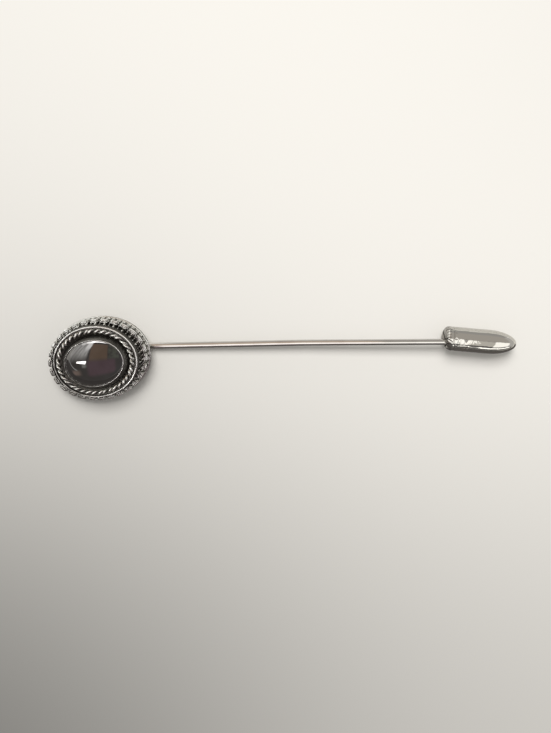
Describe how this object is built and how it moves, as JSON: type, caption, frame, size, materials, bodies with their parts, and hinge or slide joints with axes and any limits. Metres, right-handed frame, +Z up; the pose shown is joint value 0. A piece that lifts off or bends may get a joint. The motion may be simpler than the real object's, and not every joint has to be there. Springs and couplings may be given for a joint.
{
  "type": "stick pin",
  "caption": "Stick pin: oval cabochon in a round-toothed, rope-edged metal setting on a straight wire, with a hollow bullet clutch that slides off the point.",
  "frame": {"origin": "on the surface that the pin lies on, under the middle of its outline", "axes": "+X along the straight part of the wire towards the clutch, +Z up out of the surface"},
  "size_m": [0.076, 0.0138, 0.007],
  "materials": {
    "antique_silver": "cast silver-tone metal with blackened recesses and rubbed bright edges",
    "dark_stone": "polished dark grey-brown stone, close to a mirror",
    "bright_wire": "drawn and plated steel wire",
    "bright_nickel": "bright nickel plate with soft dents"
  },
  "bodies": {
    "pin": {"setting": "antique_silver", "stone": "dark_stone", "pin_stem": "bright_wire"},
    "clutch": {"clutch": "bright_nickel"}
  },
  "joints": [
    {"name": "clutch_slide", "type": "slide", "parent": "pin", "child": "clutch", "axis": [0.9997, 0, 0.0245], "range_m": [0, 0.024]}
  ]
}
